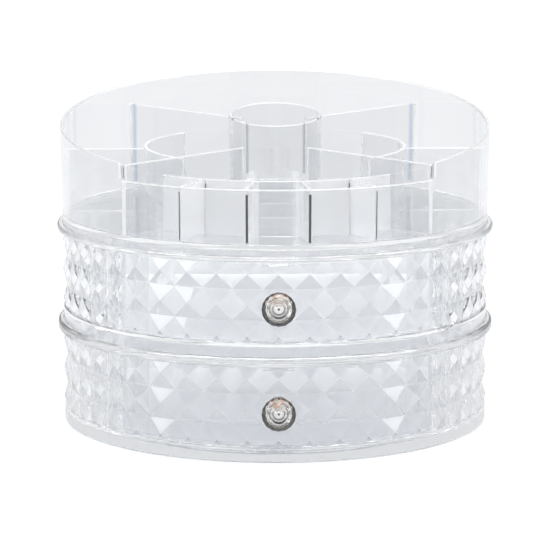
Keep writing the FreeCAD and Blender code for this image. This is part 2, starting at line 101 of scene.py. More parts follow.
def maths(tree, kind, *values):
    """The result of a maths node on values that are each a number or another node's output."""
    made = node(tree, "ShaderNodeMath", operation=kind)
    for value, socket in zip(values, made.inputs):
        if isinstance(value, float):
            socket.default_value = value
        else:
            tree.links.new(value, socket)
    return made.outputs[0]


def ramp(tree, value, stops):
    """A colour that runs through these stops, each (place, colour), as the value goes from 0 to 1."""
    made = node(tree, "ShaderNodeValToRGB", [(value, "Fac")])
    for _ in stops[2:]:
        made.color_ramp.elements.new(1.0)
    for i, (place, colour) in enumerate(stops):
        made.color_ramp.elements[i].position = place
        made.color_ramp.elements[i].color = (*colour, 1)
    return made.outputs["Color"]

# %% [markdown]
# ## Clear plastic
# Moulded styrene is never quite even: its gloss carries fine wipe marks, and its walls wave a little, which
# bends what is seen through them. Both come from noise on the object's own coordinates. A number that is
# the same all over goes straight on the shader's socket. The thin plates are a little greyer than the
# drums, and the drawer boxes are moulded satin.

# %% Clear plastic
def new_material(name, **sockets):
    """A material with one Principled shader whose named sockets have these values."""
    material = bpy.data.materials.new(name)
    material.use_nodes = True
    shader = material.node_tree.nodes["Principled BSDF"]
    for socket, value in sockets.items():
        shader.inputs[socket.replace("_", " ")].default_value = value
    return material, shader


def own_place(tree):
    """The object's own coordinates, as a vector in metres."""
    return node(tree, "ShaderNodeTexCoord").outputs["Object"]


def noise(tree, scale, detail=2.0, stretch=(1, 1, 1)):
    """A noise pattern on the object's own coordinates, with a value that wavers about 0.5."""
    mapping = node(tree, "ShaderNodeMapping", [(own_place(tree), "Vector")], Scale=stretch)
    return node(tree, "ShaderNodeTexNoise", [(mapping.outputs["Vector"], "Vector")],
                Scale=scale, Detail=detail).outputs["Fac"]


def patches(tree, value, low, high, start=0.5, end=0.7):
    """The value stretched so that start to end becomes low to high, and flat beyond them."""
    return node(tree, "ShaderNodeMapRange", [(value, "Value")],
                From_Min=start, From_Max=end, To_Min=low, To_Max=high).outputs["Result"]


STYRENE_IOR = 1.52
WIPE_SCALE, WAVE_SCALE = 260, 28        # how often the wipe marks and the waves come, per metre


def clear_plastic(name, tint, wipe_marks, wave_depth, gloss=0.0):
    """Clear styrene with this tint. Its roughness goes from gloss to gloss + wipe_marks, and its waves are
    this deep in metres."""
    material, shader = new_material(name, Base_Color=(*tint, 1), IOR=STYRENE_IOR, Transmission_Weight=1.0)
    tree = material.node_tree
    marks = noise(tree, WIPE_SCALE, 4.0, (1, 1, 0.35))
    tree.links.new(patches(tree, marks, gloss, gloss + wipe_marks), shader.inputs["Roughness"])
    waves = node(tree, "ShaderNodeBump", [(noise(tree, WAVE_SCALE, 1.0), "Height")],
                 Distance=wave_depth, Strength=1.0)
    tree.links.new(waves.outputs["Normal"], shader.inputs["Normal"])
    return material


WIPE_MARKS, THIN_WAVES, THICK_WAVES = 0.03, 0.00008, 0.00004
BOX_WIPE_MARKS, BOX_GLOSS = 0.06, 0.36
deck_plastic = clear_plastic("clear_wall", (0.93, 0.935, 0.942), WIPE_MARKS, THIN_WAVES)
cut_plastic = clear_plastic("clear_faceted", (0.98, 0.984, 0.99), WIPE_MARKS, THICK_WAVES)
box_plastic = clear_plastic("satin_box", (0.98, 0.984, 0.99), BOX_WIPE_MARKS, THICK_WAVES, BOX_GLOSS)
tray_plastic = clear_plastic("clear_tray", (0.955, 0.958, 0.964), WIPE_MARKS, THIN_WAVES)
insert_plastic = clear_plastic("clear_insert", (0.91, 0.913, 0.919), WIPE_MARKS, THIN_WAVES)
rack_plastic = clear_plastic("clear_rack", (0.955, 0.958, 0.964), WIPE_MARKS, THIN_WAVES)
tube_plastic = clear_plastic("clear_tube", (0.90, 0.903, 0.909), WIPE_MARKS, THIN_WAVES)
print("seven clear finishes that bend light by %.2f" % STYRENE_IOR)

# %% [markdown]
# ## Satin edges
# A mould leaves the edge of a thin wall satin, so a rim scatters light and shows as a white line where
# the wall's face stays clear. The edges could be pieces of their own, but a mask in the same finish follows
# them without a seam. It finds them by height, by distance from the axis and by the way the surface leans.

# %% Satin edges
def position(tree):
    """y and z, then r = sqrt(x^2 + y^2) and the azimuth |atan2(x, -y)|, in metres and radians."""
    place = node(tree, "ShaderNodeSeparateXYZ", [(own_place(tree), 0)])
    x, y, z = (place.outputs[axis] for axis in "XYZ")
    r = maths(tree, "SQRT", maths(tree, "ADD", maths(tree, "MULTIPLY", x, x), maths(tree, "MULTIPLY", y, y)))
    azimuth = maths(tree, "ABSOLUTE", maths(tree, "ARCTAN2", x, maths(tree, "MULTIPLY", y, -1.0)))
    return y, z, r, azimuth


def upward(tree):
    """The upward part of the surface's normal, from -1 to 1."""
    normal = node(tree, "ShaderNodeNewGeometry").outputs["Normal"]
    return node(tree, "ShaderNodeSeparateXYZ", [(normal, 0)]).outputs["Z"]


def between(tree, value, low, high):
    """1 where low < value < high, and 0 elsewhere."""
    above, below = maths(tree, "GREATER_THAN", value, low), maths(tree, "LESS_THAN", value, high)
    return maths(tree, "MULTIPLY", above, below)


EDGE_ROUGHNESS, EDGE_MILK, EDGE_LEAN = 0.35, 0.5, 0.2
COMPARTMENT_LOW = 0.1285            # the floor's own rounding stays clear
EVERYWHERE = (-1.0, 1.0)            # wider than any piece, in metres


def satin_edges(material, ends=EVERYWHERE, corner=None, haze=None):
    """Rough and half milky on the tops, where |n_z| > EDGE_LEAN and z > COMPARTMENT_LOW, on the ends, where
    r is outside (inner, outer) = ends, and in the corner, where y < corner[0] and z > corner[1]. The haze
    is (start, end, amount), for the light that the walls between two azimuths in degrees scatter."""
    tree = material.node_tree
    shader = tree.nodes["Principled BSDF"]
    y, z, r, azimuth = position(tree)
    leaning = maths(tree, "GREATER_THAN", maths(tree, "ABSOLUTE", upward(tree)), EDGE_LEAN)
    satin = maths(tree, "MULTIPLY", leaning, maths(tree, "GREATER_THAN", z, COMPARTMENT_LOW))
    satin = maths(tree, "MAXIMUM", satin, maths(tree, "LESS_THAN", r, ends[0]))
    satin = maths(tree, "MAXIMUM", satin, maths(tree, "GREATER_THAN", r, ends[1]))
    if corner:
        ahead, high = maths(tree, "LESS_THAN", y, corner[0]), maths(tree, "GREATER_THAN", z, corner[1])
        satin = maths(tree, "MAXIMUM", satin, maths(tree, "MULTIPLY", ahead, high))
    milk = maths(tree, "MULTIPLY", satin, EDGE_MILK)
    if haze:
        hazy = between(tree, azimuth, math.radians(haze[0]), math.radians(haze[1]))
        milk = maths(tree, "MAXIMUM", milk, maths(tree, "MULTIPLY", hazy, haze[2]))
    tree.links.new(maths(tree, "SUBTRACT", 1.0, milk), shader.inputs["Transmission Weight"])
    gloss = shader.inputs["Roughness"].links[0].from_socket
    rough = maths(tree, "ADD", gloss, maths(tree, "MULTIPLY", satin, EDGE_ROUGHNESS))
    tree.links.new(rough, shader.inputs["Roughness"])


satin_edges(tray_plastic, corner=(-0.0885, 0.1575))
satin_edges(insert_plastic, ends=(0.0283, 0.1218))
satin_edges(rack_plastic, haze=(6.5, 60.0, 0.35))
satin_edges(tube_plastic)
print("satin edges from z = %.1f mm up" % (COMPARTMENT_LOW / MM))

# %% [markdown]
# ## Painted shade: slit lines, wall-end lines and undersides
# Where two leaves of a wall meet, a thin dark slit shows, and a wall that thickens at its end shows a grey
# or bluish line: shade, seen through the clear plastic. Modelled as real gaps these would be hair-thin,
# so they are painted shade instead, as strips in the tint. The undersides of the pyramids, which look down
# into the darker table, get painted shade as well: the same tint a little darker.

# %% Painted shade in the tints
def strips(tree, *places):
    """A mask of narrow upright strips. Each place is (azimuth, half width, r_from, r_to, z_from, z_to) in
    degrees and metres, and the mask is 1 on both sides of the front where | azimuth on the wall - azimuth |
    < half width, r_from < r < r_to and z_from < z < z_to."""
    _, z, r, azimuth = position(tree)
    mask = 0.0
    for middle, half, r_from, r_to, z_from, z_to in places:
        strip = between(tree, azimuth, math.radians(middle - half), math.radians(middle + half))
        strip = maths(tree, "MULTIPLY", strip, between(tree, r, r_from, r_to))
        strip = maths(tree, "MULTIPLY", strip, between(tree, z, z_from, z_to))
        mask = maths(tree, "MAXIMUM", strip, mask)
    return mask


def paint_shade_where(material, mask, colour):
    """Paints shade of this colour where the mask is 1, on top of the tint so far."""
    tree = material.node_tree
    base = tree.nodes["Principled BSDF"].inputs["Base Color"]
    mix = node(tree, "ShaderNodeMix", data_type="RGBA", A=base.default_value, B=(*colour, 1))
    if base.links:
        tree.links.new(base.links[0].from_socket, mix.inputs["A"])
    tree.links.new(mask, mix.inputs["Factor"])
    tree.links.new(mix.outputs["Result"], base)


CELL_LOW, CELL_TOP, RACK_TOP = 0.1262, 0.1535, 0.1540
CELL_END = (0.1222, 1.0)            # the outer end faces of the cell walls
RACK_SIDE = (0.0900, 0.0940)        # the curved wall of the rack
INSERT_END = (0.1180, 0.1208)       # just inside the inserts' outer ends
NEAR_WALL, FAR_WALL = 8.0, 26.3     # azimuths of the cell walls
tree = rack_plastic.node_tree
# Painted shade: black strips on the outer end faces of the cell walls, for the dark gap where two leaves
# meet.
painted_slit_shade = strips(tree, (NEAR_WALL, 0.45, *CELL_END, CELL_LOW, CELL_TOP),
               (FAR_WALL, 0.14, *CELL_END, CELL_LOW, CELL_TOP))
paint_shade_where(rack_plastic, painted_slit_shade, (0.0, 0.0, 0.0))
# Painted shade: a grey line low and a near-black line high on the rack's curved wall at the far cell walls.
paint_shade_where(rack_plastic, strips(tree, (FAR_WALL, 0.35, *RACK_SIDE, CELL_LOW, 0.150)), (0.22, 0.22, 0.26))
paint_shade_where(rack_plastic, strips(tree, (FAR_WALL, 0.7, *RACK_SIDE, 0.151, RACK_TOP)), (0.02, 0.02, 0.06))
tree = insert_plastic.node_tree
# Painted shade: a bluish grey line just inside each insert's outer end at 135 degrees.
paint_shade_where(insert_plastic, strips(tree, (135.0, 1.5, *INSERT_END, 0.130, 0.1815)), (0.62, 0.70, 0.80))
tree = tube_plastic.node_tree
# Painted shade: a dark grey stripe at 38 degrees and a near-black mark under the rim at 67 degrees.
paint_shade_where(tube_plastic, strips(tree, (38.0, 0.7, 0.0, 1.0, 0.150, 0.186)), (0.30, 0.31, 0.35))
paint_shade_where(tube_plastic, strips(tree, (67.0, 1.6, 0.0, 1.0, 0.180, 0.186)), (0.05, 0.05, 0.08))
tree = cut_plastic.node_tree
# Painted shade: faces that lean downwards get a darker tint, for the darker table they look into.
paint_shade_where(cut_plastic, maths(tree, "LESS_THAN", upward(tree), -0.15), (0.72, 0.735, 0.76))
print("painted_shade_in:", [m.name for m in (rack_plastic, insert_plastic, tube_plastic, cut_plastic)])

# %% [markdown]
# ## Surfaces from arrays
# A shape here is a whole array of points, indexed by two parameters. Most pieces are a closed outline
# carried round the axis or along a wall, so two helpers do nearly all of the work: one rounds the corners
# of an outline, and one turns a grid of points into a closed mesh.

# %% Outlines and grids
def to_object(name, points, faces):
    """A mesh object from points in millimetres and a list of faces, with its doubles merged."""
    mesh = bpy.data.meshes.new(name)
    mesh.from_pydata((np.asarray(points, float).reshape(-1, 3) * MM).tolist(), [], faces)
    work = bmesh.new()
    work.from_mesh(mesh)
    bmesh.ops.remove_doubles(work, verts=work.verts, dist=1e-6)
    bmesh.ops.dissolve_degenerate(work, dist=1e-6, edges=work.edges)
    bmesh.ops.recalc_face_normals(work, faces=work.faces)
    work.to_mesh(mesh)
    work.free()
    piece = bpy.data.objects.new(name, mesh)
    bpy.context.scene.collection.objects.link(piece)
    return piece


def around(radius, azimuth, height):
    """x = r sin a, y = -r cos a, z = height, with the azimuth a in degrees from the front."""
    turn = np.radians(azimuth)
    return np.stack(np.broadcast_arrays(radius * np.sin(turn), -radius * np.cos(turn), height), -1)


def rounded(corners, steps=4):
    """An outline with its corners rounded. Each corner is (across, up, setback), and the setback is how far
    from the corner the rounding starts on both sides. The rounding is the curve
    (1-s)^2 P0 + 2 s (1-s) P + s^2 P1 between the two setback points P0 and P1 about the corner P.
    Where a number is an array, the result is a row of outlines, one for each of its values."""
    size = max(np.size(number) for corner in corners for number in corner)
    corners = np.array([[np.broadcast_to(number, size) for number in tuple(c) + (0,) * (3 - len(c))]
                        for c in corners], float).transpose(2, 0, 1)
    p, setback = corners[..., :2], corners[..., 2:]
    before, after = np.roll(p, 1, 1) - p, np.roll(p, -1, 1) - p
    p0 = p + before / np.linalg.norm(before, axis=2, keepdims=True) * setback
    p1 = p + after / np.linalg.norm(after, axis=2, keepdims=True) * setback
    s = np.linspace(0, 1, steps + 1)[None, None, :, None]
    curve = (1 - s) ** 2 * p0[:, :, None] + 2 * s * (1 - s) * p[:, :, None] + s ** 2 * p1[:, :, None]
    curve = curve.reshape(size, -1, 2)
    apart = np.linalg.norm(curve - np.roll(curve, 1, 1), axis=2).max(0) > 1e-9
    return curve[:, apart] if size > 1 else curve[0, apart]


def lifted(outline, z):
    """The outline raised by z."""
    return outline + np.array([0, z])


def grid_faces(rows, columns, rows_closed, columns_closed):
    """The four-sided faces between neighbouring points of a grid that is numbered row by row."""
    i = np.arange(rows if rows_closed else rows - 1)[:, None]
    j = np.arange(columns if columns_closed else columns - 1)[None, :]
    i1, j1 = (i + 1) % rows, (j + 1) % columns
    quads = np.stack(np.broadcast_arrays(i * columns + j, i1 * columns + j, i1 * columns + j1,
                                         i * columns + j1), -1)
    return quads.reshape(-1, 4).tolist()


def swept(name, sections, closed=False):
    """A closed mesh through a row of outlines; when the row itself isn't closed, the two end outlines are
    filled with a flat face each."""
    rows, columns = sections.shape[:2]
    faces = grid_faces(rows, columns, closed, True)
    if not closed:
        faces += [list(range(columns)), list(range((rows - 1) * columns, rows * columns))]
    return to_object(name, sections, faces)


def turned(name, outline, steps=720, start=0.0, end=360.0):
    """An outline of (radius, height) carried round the axis: P(a, k) = around(r_k, a, z_k)."""
    whole = abs(end - start) >= 360
    azimuth = np.linspace(start, end, steps + 1)[:-1] if whole else np.linspace(start, end, steps + 1)
    sections = around(outline[None, :, 0], azimuth[:, None], outline[None, :, 1])
    return swept(name, sections, closed=whole)

# %% [markdown]
# ## Joining and finishing
# Light bends at every surface inside clear plastic, so walls that only overlap would show each other's
# insides. They are joined into one closed solid instead. Faces that touch another piece stay a hair apart
# from it, because two clear surfaces in one place turn black. Worn edges come from a small bevel.

# %% Joining
SEAT = 0.04             # air under a piece that rests on another


def combine(target, other, operation):
    """Target joined with, cut by or cut down to another closed mesh, which is used up."""
    change = target.modifiers.new("combine", "BOOLEAN")
    change.solver, change.operation, change.object = "MANIFOLD", operation, other
    bpy.context.view_layer.update()
    mesh = bpy.data.meshes.new_from_object(target.evaluated_get(bpy.context.evaluated_depsgraph_get()))
    target.modifiers.clear()
    target.data = mesh
    bpy.data.objects.remove(other)
    return target


def soften(piece, width, angle=15.0, segments=2):
    """Rounds every edge that turns by more than the angle, as a mould's worn edges are rounded."""
    bevel = piece.modifiers.new("soften", "BEVEL")
    bevel.width, bevel.segments, bevel.limit_method = width * MM, segments, "ANGLE"
    bevel.angle_limit = math.radians(angle)
    bevel.use_clamp_overlap = False
    bpy.context.view_layer.update()
    mesh = bpy.data.meshes.new_from_object(piece.evaluated_get(bpy.context.evaluated_depsgraph_get()))
    piece.modifiers.clear()
    piece.data = mesh
    return piece


def block(name, x0, x1, y0, y1, z0, z1, round_edges):
    """A box between two corners, with its edges rounded."""
    x, y = np.array([x0, x1, x1, x0]), np.array([y0, y0, y1, y1])
    return soften(swept(name, np.stack([np.stack([x, y, np.full(4, z)], -1) for z in (z0, z1)])), round_edges)


def bar(name, radius, y0, y1, z, steps=48, edge=0.0):
    """A round bar along Y: P(a, k) = (r_k sin a, y_k, z + r_k cos a)."""
    outline = rounded([(0, y0), (radius, y0, edge), (radius, y1, edge), (0, y1)])
    a = np.linspace(0, 2 * math.pi, steps + 1)[:-1, None]
    r, y = outline[None, :, 0], outline[None, :, 1]
    return swept(name, np.stack(np.broadcast_arrays(r * np.sin(a), y, z + r * np.cos(a)), -1), closed=True)

# %% [markdown]
# ## Handing a piece over
# A finished piece gets its material, then takes the place of its CAD nodes and rides on their body, so that
# it moves with the joints. The same few lines serve every piece, so they are one function, which also
# measures the piece against the box of the nodes that it replaces.

# %% Handing over
def finish_piece(piece, body, material, slot, *nodes):
    """Gives a piece its finish and puts it on its body in place of the CAD nodes. Faces are shaded flat:
    in a thin clear wall a blended normal would send light where the real surface can't."""
    mesh = piece.data
    mesh.materials.clear()
    mesh.materials.append(material)
    mesh.polygons.foreach_set("material_index", np.zeros(len(mesh.polygons), int))
    mesh.shade_flat()
    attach(piece, body)
    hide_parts(*nodes)
    co = np.empty(len(mesh.vertices) * 3)
    mesh.vertices.foreach_get("co", co)
    co = co.reshape(-1, 3) / MM
    low = np.min([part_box(n)[0] for n in nodes], axis=0) / MM
    high = np.max([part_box(n)[1] for n in nodes], axis=0) / MM
    off = max(np.abs(co.min(0) - low).max(), np.abs(co.max(0) - high).max())
    print("%-22s %6d faces, x %.1f..%.1f y %.1f..%.1f z %.1f..%.1f mm, off its CAD box by at most %.2f mm" % (
        piece.name, len(mesh.polygons), *np.stack([co.min(0), co.max(0)], 1).ravel(), off))

# %% [markdown]
# ## Faceted walls
# The drums and drawer panels are covered with low four-sided pyramids, 45 round the drum. A bump pattern
# would bend the light wrongly, so each pyramid is real: four flat faces that meet at a point, with corners
# on the valleys' circle. A row of them may be cut short by the edge above or below it.

# %% Pyramids
DRUM_R, FACET_RELIEF, FACET_COLUMNS, DRUM_IN_R = 125.2, 2.5, 45, 120.8
COLUMN = 360 / FACET_COLUMNS
ROW_H = 2 * math.pi * DRUM_R / FACET_COLUMNS
KNOB_H, BAND_H, CASING_H, OPENING = 30.2, 9.0, 54.8, 52.0
FACET_POINTS = 9        # apex, four corners, and two points on each of the level edges
FACET_EDGE = 0.3        # how far the pyramids' edges are worn


def pyramids(columns, low, high, trim):
    """Points and faces of a field of pyramids, FACET_POINTS for each, column by column. Inside a facet, u
    and v run from -1 to 1 across and up, and the wall stands relief * (1 - max(|u|, |v|)) proud of the flat
    square between its four corners."""
    flat_r, half_h = DRUM_R - FACET_RELIEF, ROW_H / 2
    half_w = flat_r * math.tan(math.radians(COLUMN / 2))
    centres = np.array([KNOB_H + k * ROW_H for k in range(-3, 4)])
    centres = centres[(centres + half_h > low + 0.01) & (centres - half_h < high - 0.01)]
    b = np.minimum(1, (centres - low) / half_h)
    t = np.minimum(1, (high - centres) / half_h)
    o = np.zeros_like(b)
    u = np.stack([o, o - 1, o + 1, o + 1, o - 1, -b, b, t, -t], -1)
    v = np.stack([o, -b, -b, t, t, -b, -b, t, t], -1)
    u = np.broadcast_to(u, (len(columns),) + u.shape).copy()
    u[0] = np.maximum(u[0], trim / half_w - 1)
    u[-1] = np.minimum(u[-1], 1 - trim / half_w)
    out = FACET_RELIEF * (1 - np.maximum(np.abs(u), np.abs(v)))
    turn = np.radians(columns * COLUMN)[:, None, None]
    across, deep = u * half_w, flat_r + out
    x = across * np.cos(turn) + deep * np.sin(turn)
    y = across * np.sin(turn) - deep * np.cos(turn)
    z = np.broadcast_to(centres[:, None] + v * half_h, x.shape)
    cells = np.arange(len(columns) * len(centres))[:, None] * FACET_POINTS
    faces = [list(f) for part in ([0, 5, 6], [0, 6, 2, 3, 7], [0, 7, 8], [0, 8, 4, 1, 5])
             for f in (cells + np.array(part)).tolist()]
    return np.stack([x, y, z], -1).reshape(-1, 3), faces, len(centres)

# %% [markdown]
# ## Inside of the faceted wall
# The inside of the wall is a plain cylinder, and that is what makes each pyramid a small lens. The pyramids
# and the cylinder are separate grids with different steps, so the narrow faces between them, at the foot,
# at the top and at both ends, are single polygons that run along all the points of an edge.

# %% Faceted wall
def faceted_wall(name, first, last, low, high, lift, trim=0.0):
    """A wall of pyramids from one facet column to another and from one height to another, then lifted. The
    plain inside is P(a, z) = around(DRUM_IN_R, a, z), and one flat face on each side joins it on."""
    columns = np.arange(first, last + 1)
    points, faces, rows = pyramids(columns, low, high, trim)
    n, count, steps = len(columns), len(points), len(columns) * 16
    base = lambda c, r: (c * rows + r) * FACET_POINTS
    corners = points[[1, base(n - 1, 0) + 2]]
    ends = np.degrees(np.arctan2(corners[:, 0], -corners[:, 1]))
    if last - first > FACET_COLUMNS / 2 and ends[1] < ends[0]:
        ends[1] += 360
    inner = np.linspace(ends[0], ends[1], steps + 1)
    inside = np.concatenate([around(DRUM_IN_R, inner, low), around(DRUM_IN_R, inner, high)])
    faces += [[count + i, count + i + 1, count + steps + 2 + i, count + steps + 1 + i] for i in range(steps)]
    foot = [base(c, 0) + k for c in range(n) for k in (1, 5, 6)] + [base(n - 1, 0) + 2]
    top = [base(c, rows - 1) + k for c in range(n) for k in (4, 8, 7)] + [base(n - 1, rows - 1) + 3]
    faces += [foot + [count + steps - i for i in range(steps + 1)]]
    faces += [top + [count + 2 * steps + 1 - i for i in range(steps + 1)]]
    start = [k for r in range(rows) for k in (base(0, r) + 1, base(0, r) + 4)]
    end = [k for r in range(rows) for k in (base(n - 1, r) + 2, base(n - 1, r) + 3)]
    faces += [start + [count + steps + 1, count]]
    faces += [end + [count + 2 * steps + 1, count + steps]]
    return to_object(name, np.concatenate([points, inside]) + np.array([0, 0, lift]), faces)


print("one facet is %.1f mm wide and %.1f mm high" % (math.radians(COLUMN) * DRUM_R, ROW_H))

# %% [markdown]
# ## Drum tiers
# Each tier is a shallow dish with a plain band round its foot, and the faceted wall stands on the band,
# open across the front for the drawer. Two rails on the dish guide the drawer. The dish is an outline
# turned about the axis, because all its steps are rings: under the lower one they are the race for the
# balls and the hub for the pivot.

# %% Drum tiers
BAND_R, BAND_IN_R, CAVITY_H = 124.8, 121.6, 6.6
RACE_OUT, RACE_IN, RACE_LOW = 92, 80, 5.2
GROOVE_OUT, GROOVE_IN, GROOVE_ROOF = 88.5, 83.5, 6.4
HUB_BORE, HUB_R, HUB_PLATE_R, HUB_LOW, HUB_PLATE_LOW = 6.45, 8.85, 15.4, 2, 3.2
CUP_R, CUP_FLOOR = 13, 5.6
TIERS = {"lower": 2.0, "upper": 61.2}               # height of each tier's foot
BOX_HALF, BOX_BACK = 86.99, 77.94
RAIL_GAP, RAIL_W, RAIL_H = 0.3, 2.0, 7
ROOT, PART_EDGE = 1, 0.4                            # how far a joined part reaches into the other one
WALL_COLUMNS, PANEL_COLUMNS = (7, 38), (-6, 6)      # columns of pyramids, counted from the front
outlines = {
    "upper": [(0, CAVITY_H), (BAND_IN_R, CAVITY_H, 0.5), (BAND_IN_R, 0, 0.5), (BAND_R, 0, 0.6),
              (BAND_R, BAND_H, 0.4), (0, BAND_H)],
    "lower": [(HUB_BORE, CUP_FLOOR), (CUP_R, CUP_FLOOR, 0.4), (CUP_R, BAND_H, 0.4), (BAND_R, BAND_H, 0.4),
              (BAND_R, 0, 0.6), (BAND_IN_R, 0, 0.5), (BAND_IN_R, CAVITY_H, 0.5), (RACE_OUT, CAVITY_H),
              (RACE_OUT, RACE_LOW, 0.2), (GROOVE_OUT, RACE_LOW, 0.2), (GROOVE_OUT, GROOVE_ROOF),
              (GROOVE_IN, GROOVE_ROOF), (GROOVE_IN, RACE_LOW, 0.2), (RACE_IN, RACE_LOW, 0.2),
              (RACE_IN, CAVITY_H), (HUB_PLATE_R, CAVITY_H), (HUB_PLATE_R, HUB_PLATE_LOW, 0.3),
              (HUB_R, HUB_PLATE_LOW), (HUB_R, HUB_LOW, 0.3), (HUB_BORE, HUB_LOW)],
}
for tier, z in TIERS.items():
    drum = turned(tier + "_drum", lifted(rounded(outlines[tier]), z))
    wall = soften(faceted_wall("wall", *WALL_COLUMNS, BAND_H - ROOT, CASING_H - SEAT, z), FACET_EDGE)
    combine(drum, wall, "UNION")
    for side in (-1, 1):
        x = sorted((side * (BOX_HALF + RAIL_GAP), side * (BOX_HALF + RAIL_GAP + RAIL_W)))
        low, high = z + BAND_H - ROOT, z + BAND_H + RAIL_H
        rail = block("rail", *x, -BOX_BACK, BOX_BACK - 2, low, high, PART_EDGE)
        combine(drum, rail, "UNION")
    finish_piece(drum, "carousel", cut_plastic, "clear_plastic", tier + "_casing")

# %% [markdown]
# ## Decks
# A deck closes each drum and stands a little proud of it as a rounded flange, which catches most of the
# light. The next tier sits inside a low lip. Under the deck hang a ring that centres it on the drum, a catch
# for the closed drawer panel and two stops for the drawer's back. They could be carved from one block, but
# joining turned rings and small boxes to a turned plate keeps every ring true.

# %% Decks
FLANGE_R, LIP_IN_R, SEAT_RING_R = 128.3, 125.3, 120.6
RING_R, RING_WALL, RING_H, RING_START, CATCH_HALF = 120.4, 2.2, 3, OPENING + 4, 9.0
STOP_X, STOP_HALF, STOP_FRONT, STOP_BACK, STOP_H = 45, 6, -37.36, -34.36, 3.5
deck_outlines = {
    "lower": (56.8, [(0, SEAT), (FLANGE_R, SEAT, 2.0), (FLANGE_R, 5.6, 2.0), (LIP_IN_R, 5.6, 0.4),
                     (LIP_IN_R, 4.4, 0.2), (SEAT_RING_R, 4.4, 0.4), (SEAT_RING_R, 2.4, 0.3), (0, 2.4)]),
    "upper": (116.0, [(0, SEAT), (FLANGE_R, SEAT, 1.3), (FLANGE_R, 3.4, 1.3), (LIP_IN_R, 3.4, 0.3),
                      (LIP_IN_R, 2.4, 0.2), (0, 2.4)]),
}
hanging = rounded([(RING_R - RING_WALL, -RING_H, 0.5), (RING_R, -RING_H, 0.5), (RING_R, ROOT),
                   (RING_R - RING_WALL, ROOT)])
catch = math.degrees(math.asin(CATCH_HALF / RING_R))
for tier, (z, outline) in deck_outlines.items():
    deck = turned(tier + "_plate", lifted(rounded(outline, 6), z))
    for start, end in ((RING_START, 360 - RING_START), (-catch, catch)):
        part = turned("ring", lifted(hanging, z), max(16, int(2 * (end - start))), start, end)
        combine(deck, part, "UNION")
    for x in (-STOP_X, STOP_X):
        sides = (x - STOP_HALF, x + STOP_HALF, STOP_FRONT, STOP_BACK)
        stop = block("stop", *sides, z - STOP_H, z + ROOT, PART_EDGE)
        combine(deck, stop, "UNION")
    finish_piece(deck, "carousel", deck_plastic, "clear_plastic", tier + "_deck")

# %% [markdown]
# ## Drawers
# A drawer is a curved faceted panel with a deep box glued behind it. The panel is the same wall as the
# drum's, with a flat boss in its middle for the knob. The box is a round-cornered tray whose sides run
# straight to the panel, so it is made as a floor and a U-shaped wall, then cut to the panel's curve.

# %% Drawer boxes and panels
SEAM = 0.4
BOSS_R, BOSS_FRONT, BOSS_BACK, SCREW_BORE = 6.5, -124.4, -119.6, 2.2
BOX_LOW, BOX_TOP, BOX_WALL, BOX_CORNER, BOX_FRONT = 9.3, 53.8, 2.0, 10, -126.0


def box_plan(inset, steps=10):
    """Half-turn plan of the drawer box seen from above: up one side, round the back and down the other.
    Each back corner is a quarter circle of radius BOX_CORNER less the inset."""
    half, back, corner = BOX_HALF - inset, BOX_BACK - inset, BOX_CORNER - inset
    turn = np.linspace(0, math.pi / 2, steps + 1)
    right = np.stack([half - corner + corner * np.cos(turn), back - corner + corner * np.sin(turn)], -1)
    left = right[::-1] * np.array([-1, 1])
    return np.concatenate([[[half, BOX_FRONT]], right, left, [[-half, BOX_FRONT]]])


def level(plan, z):
    """The plan laid out at height z."""
    return np.column_stack([plan, np.full(len(plan), z)])


def drawer_box(name, z):
    """Walls by the section (inset, height) along the plan, joined to a flat floor of the same plan."""
    section = rounded([(0, BOX_LOW, 0.8), (BOX_WALL, BOX_LOW), (BOX_WALL, BOX_TOP, 0.9), (0, BOX_TOP, 0.9)])
    box = swept(name, np.stack([level(box_plan(inset), z + h) for inset, h in section], 1))
    plan = box_plan(0.5)
    floor = swept("floor", np.stack([level(plan, z + h) for h in (BOX_LOW, BOX_LOW + BOX_WALL)]))
    combine(box, floor, "UNION")
    reach = DRUM_IN_R - 0.1
    inside = turned("inside", lifted(rounded([(0, 0), (reach, 0), (reach, 60), (0, 60)]), z))
    return combine(box, inside, "INTERSECT")


for tier, z in TIERS.items():
    box = drawer_box(tier + "_box", z)
    finish_piece(box, tier + "_drawer", box_plastic, "clear_plastic", tier + "_drawer_box")
    low, high = BAND_H + SEAM, CASING_H - SEAM
    panel = faceted_wall(tier + "_panel", *PANEL_COLUMNS, low, high, z, trim=SEAM)
    soften(panel, FACET_EDGE)
    combine(panel, bar("flat", BOSS_R, BOSS_FRONT, -130, z + KNOB_H), "DIFFERENCE")
    combine(panel, bar("boss", BOSS_R, BOSS_BACK, BOSS_FRONT, z + KNOB_H), "UNION")
    combine(panel, bar("bore", SCREW_BORE, BOSS_BACK + 1, BOSS_FRONT - 1, z + KNOB_H), "DIFFERENCE")
    finish_piece(panel, tier + "_drawer", cut_plastic, "clear_plastic", tier + "_drawer_front")

# %% [markdown]
# ## Tray
# The tray's outer wall flares a little, and its rim slopes down towards the front, where the wall drops to
# a low front. The whole shell is one outline turned about the axis, but with a height that changes with the
# azimuth, so the outline is worked out anew at each step.

# %% Tray shell
TRAY_Z, TRAY_R, FLARE, TRAY_WALL, TRAY_FLOOR, TRAY_RECESS = 118.4, 124.9, 1.2, 2.2, 6.6, 4.2
RIM_H, TILT, FRONT_H, FRONT_A = 59.4, math.tan(math.radians(7.2)), 38.1, 44.3
SLOPE = FLARE / (RIM_H + (TRAY_R + FLARE) * TILT)
CORNER_TOP_R, CORNER_FOOT_R = 2.5, 1.5
RIM_R = TRAY_R + 0.8            # where the flared rim's height is measured


